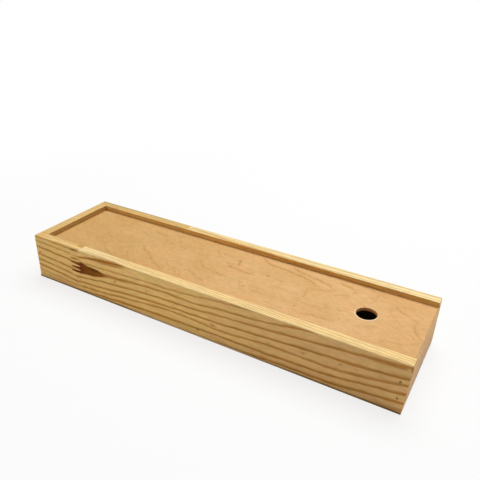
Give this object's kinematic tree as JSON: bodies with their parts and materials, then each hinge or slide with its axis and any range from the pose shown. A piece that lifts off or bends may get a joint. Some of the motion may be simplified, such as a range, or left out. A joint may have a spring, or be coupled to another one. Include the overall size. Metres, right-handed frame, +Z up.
{
  "type": "brush box with sliding lid",
  "caption": "Long low pine box for artists' brushes, with a plywood lid that slides out along side grooves, pulled by a finger hole.",
  "frame": {"origin": "middle of the box's outline, with the near board's leaning end, on the underside of the bottom panel", "axes": "+X along the box towards the open front that the lid slides out of, +Y from the near side, whose finger joint is close to the rear end, to the far side, +Z up"},
  "size_m": [0.3675, 0.1, 0.046],
  "materials": {
    "pine": "bare sanded softwood with strong growth rings",
    "plywood": "bare sanded rotary-cut veneer, faint figure",
    "hardboard": "smooth brown pressed fibreboard",
    "nail_steel": "dull bright steel"
  },
  "bodies": {
    "box": {"near_side_long_board": "pine", "near_side_short_board": "pine", "far_side_long_board": "pine", "far_side_short_board": "pine", "rear_end_board": "pine", "front_end_board": "pine", "bottom_panel": "hardboard", "front_corner_brads": "nail_steel", "rear_corner_brads": "nail_steel", "bottom_nails": "nail_steel"},
    "lid": {"lid_panel": "plywood"}
  },
  "joints": [
    {"name": "lid_slide", "type": "slide", "parent": "box", "child": "lid", "axis": [1, 0, 0], "range_m": [0, 0.365]}
  ]
}
